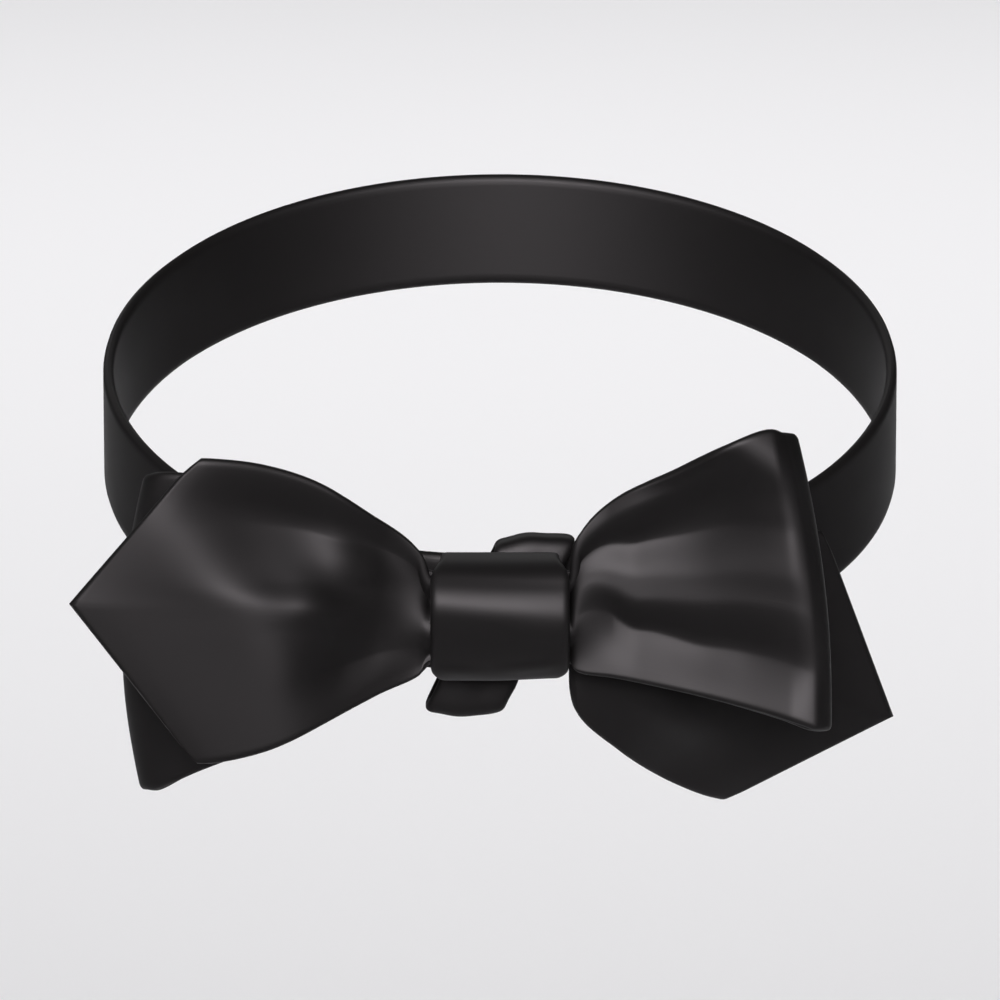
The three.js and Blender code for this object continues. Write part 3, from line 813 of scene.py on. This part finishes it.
# The lobe over and under the knot: where it starts as a share of the half height, its share of
# that height, how far its outer and inner edge roll in, in millimetres, and its creases
LOBE_START = 0.7
LOBE_SHARE = 0.3
LOBE_ROLLS = (1.3, 0.7)
CREASE_RISE = 0.08 * MM
CREASES = 2.1
CREASE_START = 0.4


def band_depth(x):
    """Middle of the neckband's front wall at x."""
    return -BAND_HALF_DEPTH * np.sqrt(1 - (x / BAND_HALF_WIDTH) ** 2)


class BOWTIE_OT_throat_loop(bpy.types.Operator):
    """Half hitch round the neckband behind the knot"""
    bl_idname = "bow_tie.throat_loop"
    bl_label = "Throat Loop"

    def execute(self, context):
        half_height = (THROAT_HIGH.z - THROAT_LOW.z - THROAT_WALL) / 2
        middle = (THROAT_HIGH.z + THROAT_LOW.z) / 2

        def surface(u, v):
            angle = 2 * math.pi * u
            across = 2 * v - 1
            y, z = squared_oval(angle, THROAT_DEPTH / 2, half_height, THROAT_SQUARENESS)
            x = across * THROAT_WIDTH / 2 + THROAT_SLANT * z
            outward = np.sign(z) * np.maximum(np.abs(z) / half_height - LOBE_START, 0) / LOBE_SHARE
            rolled_in = np.where(across * np.sign(z) < 0, *LOBE_ROLLS) * MM * across ** 2
            crease = CREASE_RISE * np.cos(math.pi * (CREASES * across + CREASE_START))
            return np.column_stack([
                x, band_depth(x) + y + np.sign(y) * crease * (1 - np.abs(outward)),
                middle + z - outward * (rolled_in - crease)])

        obj = cloth_wall(
            "throat_satin", 36, 160, surface, (0.066, THROAT_WIDTH), THROAT_WALL, closed=True)
        finish_piece(obj, satin_material(), "throat_loop")
        return {"FINISHED"}


class BOWTIE_OT_neckband(bpy.types.Operator):
    """Whole loop round the neck"""
    bl_idname = "bow_tie.neckband"
    bl_label = "Neckband"

    def execute(self, context):
        slope = (BAND_HIGH.z - BAND_LOW.z - BAND_WIDTH) / 2 / BAND_HALF_DEPTH

        def surface(u, v):
            angle = 2 * math.pi * u
            y = -BAND_HALF_DEPTH * np.cos(angle)
            return np.column_stack([
                BAND_HALF_WIDTH * np.sin(angle), y, y * slope + (v - 0.5) * BAND_WIDTH])

        girth = math.pi * (BAND_HALF_WIDTH + BAND_HALF_DEPTH * math.hypot(1, slope))
        obj = cloth_wall(
            "neckband_satin", 20, 240, surface, (girth, BAND_WIDTH), BAND_WALL, closed=True)
        finish_piece(obj, satin_material(), "neckband")
        return {"FINISHED"}


# The stage

# Soft lights over the floor all round the tie keep it pale behind the tie in every view
FLOOR_LIGHTS = table(
    "name x y power",
    ("floor light behind", 0.0, 3.0, 33),
    ("floor light left", -5.0, 0.5, 30),
    ("floor light right", 5.0, 0.5, 30),
    ("floor light before", 0.0, -6.5, 30),
    ("floor light before left", -3.2, -3.0, 26),
    ("floor light before right", 3.2, -3.0, 26),
)
FLOOR_LIGHT_HEIGHT = 2.2
FLOOR_LIGHT_SIZE = (3.6, 3.2)
FLOOR_LIGHT_SPREAD = 84
# The key stands before the tie and above it, where its reflection runs along the satin's crests,
# and the back light gives the loops' upper edges their rims; places are from the aim
KEY_PLACE = Vector((-0.12, -1.45, 0.66))
KEY_SIZE = (1.40, 0.60)
KEY_SPREAD = 50
BACK_LIGHT_PLACE = Vector((-0.3, 1.5, 0.9))
BACK_LIGHT_SIZE = (2.4, 1.0)
FULL_SPREAD = 180
# The aim lies above the knot's middle, as the photograph's frame does
AIM_RISE = 0.021
SENSOR = 36
FLOOR_SIZE = 30
FLOOR_MIDDLE = 2
ROOM_COLOUR = "dddde0"
ROOM_STRENGTH = 0.05


def area_light(name, place, aim, size, power, spread=FULL_SPREAD):
    data = bpy.data.lights.new(name, "AREA")
    data.shape = "RECTANGLE"
    data.size, data.size_y = size
    data.energy = power
    data.spread = math.radians(spread)
    obj = bpy.data.objects.new(name, data)
    bpy.context.scene.collection.objects.link(obj)
    obj.location = place
    obj.rotation_euler = (aim - place).to_track_quat("-Z", "Y").to_euler()


class BOWTIE_OT_stage(bpy.types.Operator):
    """Pale floor, soft studio light and the camera"""
    bl_idname = "bow_tie.stage"
    bl_label = "Stage"

    def execute(self, context):
        stage = context.scene.bow_tie_stage
        aim = Vector((0, KNOT_LOW.y, (KNOT_LOW.z + KNOT_HIGH.z) / 2 + AIM_RISE))
        floor_z = CAD_BOX[0][2] - stage.floor_drop
        deselect()
        bpy.ops.mesh.primitive_plane_add(size=FLOOR_SIZE, location=(0, FLOOR_MIDDLE, floor_z))
        floor = context.object
        floor.name = "floor"
        floor.data.materials.append(make_paper(stage.floor_colour))

        rise = stage.camera_rise
        toward = Vector((0, -math.cos(rise), math.sin(rise)))
        camera_data = bpy.data.cameras.new("camera")
        camera_data.sensor_width = SENSOR
        half_view = math.atan(stage.view_width / 2 / stage.camera_distance)
        camera_data.lens = SENSOR / 2 / math.tan(half_view)
        camera = bpy.data.objects.new("camera", camera_data)
        context.scene.collection.objects.link(camera)
        camera.location = aim + toward * stage.camera_distance
        camera.rotation_euler = (-toward).to_track_quat("-Z", "Y").to_euler()
        context.scene.camera = camera

        area_light("key", aim + KEY_PLACE, aim, KEY_SIZE, 5.9, KEY_SPREAD)
        for row in FLOOR_LIGHTS:
            spot = Vector((row["x"], row["y"], floor_z))
            area_light(row["name"], spot + Vector((0, 0, FLOOR_LIGHT_HEIGHT)), spot,
                       FLOOR_LIGHT_SIZE, row["power"], FLOOR_LIGHT_SPREAD)
        area_light("back light", aim + BACK_LIGHT_PLACE, aim, BACK_LIGHT_SIZE, 4.0)
        world = bpy.data.worlds.new("room")
        world.use_nodes = True
        background = world.node_tree.nodes["Background"]
        background.inputs["Color"].default_value = linear(ROOM_COLOUR)
        background.inputs["Strength"].default_value = ROOM_STRENGTH
        context.scene.world = world
        context.scene.view_settings.view_transform = "Standard"
        return {"FINISHED"}


class BOWTIE_PT_panel(bpy.types.Panel):
    bl_label = "Bow Tie"
    bl_idname = "BOWTIE_PT_panel"
    bl_space_type = "VIEW_3D"
    bl_region_type = "UI"
    bl_category = "Bow Tie"

    def draw(self, context):
        layout = self.layout
        for group in (context.scene.bow_tie_cloth, context.scene.bow_tie_satin,
                      context.scene.bow_tie_stage):
            box = layout.box()
            for name in group.__annotations__:
                box.prop(group, name)
        for operator in OPERATORS:
            layout.operator(operator.bl_idname)


OPERATORS = (BOWTIE_OT_stage, BOWTIE_OT_front_bow, BOWTIE_OT_back_bow, BOWTIE_OT_knot,
             BOWTIE_OT_throat_loop, BOWTIE_OT_neckband)
CLASSES = (BowTieCloth, BowTieSatin, BowTieStage, *OPERATORS, BOWTIE_PT_panel)


def register():
    for item in CLASSES:
        bpy.utils.register_class(item)
    bpy.types.Scene.bow_tie_cloth = PointerProperty(type=BowTieCloth)
    bpy.types.Scene.bow_tie_satin = PointerProperty(type=BowTieSatin)
    bpy.types.Scene.bow_tie_stage = PointerProperty(type=BowTieStage)


def unregister():
    del bpy.types.Scene.bow_tie_stage
    del bpy.types.Scene.bow_tie_satin
    del bpy.types.Scene.bow_tie_cloth
    for item in reversed(CLASSES):
        bpy.utils.unregister_class(item)


def main():
    register()
    bpy.ops.bow_tie.stage()
    bpy.ops.bow_tie.front_bow()
    bpy.ops.bow_tie.back_bow()
    bpy.ops.bow_tie.knot()
    bpy.ops.bow_tie.throat_loop()
    bpy.ops.bow_tie.neckband()


if __name__ == "__main__":
    main()
